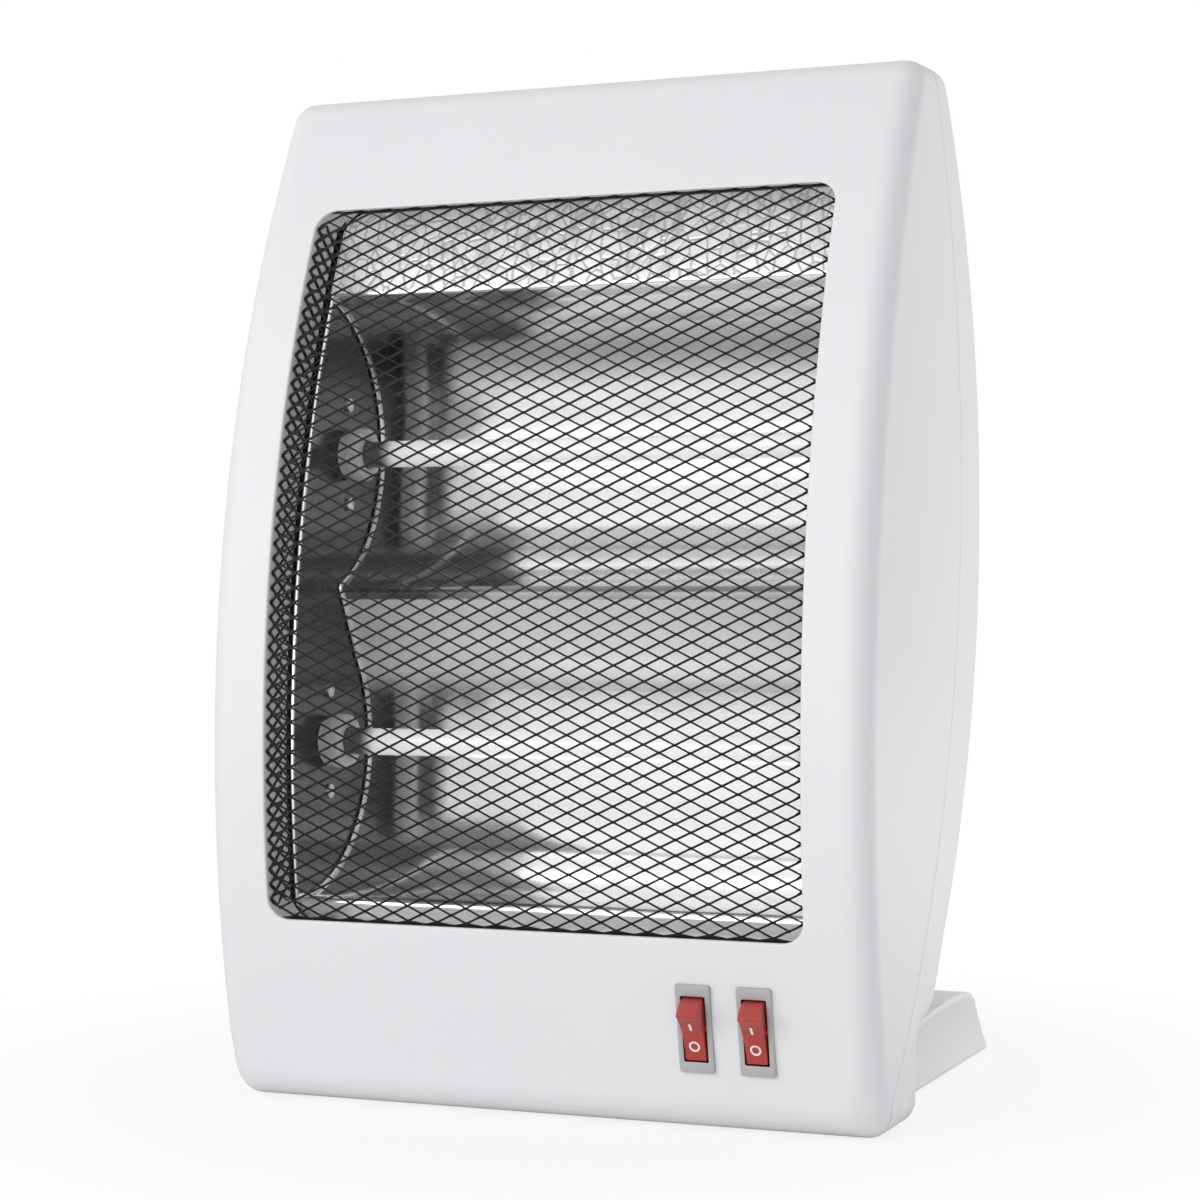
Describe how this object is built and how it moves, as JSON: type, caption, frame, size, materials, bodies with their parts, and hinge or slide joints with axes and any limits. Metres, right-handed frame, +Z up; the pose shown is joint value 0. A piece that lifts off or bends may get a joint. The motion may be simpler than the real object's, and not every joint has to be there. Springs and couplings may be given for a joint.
{
  "type": "electric bar heater",
  "caption": "Free-standing electric bar heater: leaf-shaped white case, folded mesh guard, double-trough reflector with quartz tubes in ceramic caps, rocker switches on the front",
  "frame": {"origin": "centre of the overall box on the floor that the heater stands on", "axes": "+Z up, the front with its window and switches faces -Y, +X to the right of the heater as seen from behind it, X = 0 is the middle of the case"},
  "size_m": [0.248, 0.2227, 0.37],
  "materials": {
    "case_white": "satin moulded plastic",
    "guard_black": "black enamelled expanded mesh",
    "polished_aluminium": "polished sheet",
    "quartz": "milky quartz",
    "coil_wire": "oxidised resistance wire",
    "ceramic": "unglazed steatite",
    "steel": "zinc plated",
    "brass": "plain",
    "switch_grey": "moulded, fine grain",
    "rocker_red": "moulded, glossy",
    "dark_plastic": "moulded",
    "cutout_tan": "phenolic",
    "block_ivory": "moulded",
    "inlet_grey": "soft bush",
    "wire_brown": "silicone sleeve",
    "wire_red": "silicone sleeve",
    "wire_blue": "silicone sleeve"
  },
  "bodies": {
    "case": {"front_shell": "case_white", "rear_shell": "case_white", "mesh_guard": "guard_black", "reflector": "polished_aluminium", "end_plate_left": "polished_aluminium", "end_plate_right": "polished_aluminium", "upper_tube": "quartz", "lower_tube": "quartz", "upper_coil": "coil_wire", "lower_coil": "coil_wire", "cap_upper_left": "ceramic", "cap_upper_right": "ceramic", "cap_lower_left": "ceramic", "cap_lower_right": "ceramic", "clip_upper_left": "steel", "clip_upper_right": "steel", "clip_lower_left": "steel", "clip_lower_right": "steel", "clip_rivets": "steel", "tube_terminals": "brass", "reflector_screws": "steel", "case_screws": "steel", "switch_body_inner": "switch_grey", "switch_body_outer": "switch_grey", "switch_tabs": "brass", "tip_switch": "dark_plastic", "tip_spring": "steel", "tip_switch_screws": "steel", "thermal_cutout": "cutout_tan", "terminal_block": "block_ivory", "cord_inlet": "inlet_grey", "live_lead": "wire_brown", "cutout_lead_in": "wire_brown", "cutout_lead_out": "wire_brown", "switch_link": "wire_brown", "upper_tube_lead": "wire_red", "lower_tube_lead": "wire_red", "neutral_lead": "wire_blue", "neutral_link": "wire_blue"},
    "inner_rocker": {"rocker_inner": "rocker_red"},
    "outer_rocker": {"rocker_outer": "rocker_red"},
    "plunger": {"tip_plunger": "dark_plastic"}
  },
  "joints": [
    {"name": "inner_switch", "type": "hinge", "parent": "case", "child": "inner_rocker", "pos_m": [0.0604, -0.10188, 0.03646], "axis": [-1, 0, 0], "range_deg": [0, 43]},
    {"name": "outer_switch", "type": "hinge", "parent": "case", "child": "outer_rocker", "pos_m": [0.0821, -0.10188, 0.03646], "axis": [-1, 0, 0], "range_deg": [0, 43]},
    {"name": "tip_over_plunger", "type": "slide", "parent": "case", "child": "plunger", "axis": [0, 0, -1], "range_m": [0, 0.006], "stiffness_N_per_m": 30, "springref_m": 0.008, "deforming": ["tip_spring"]}
  ]
}
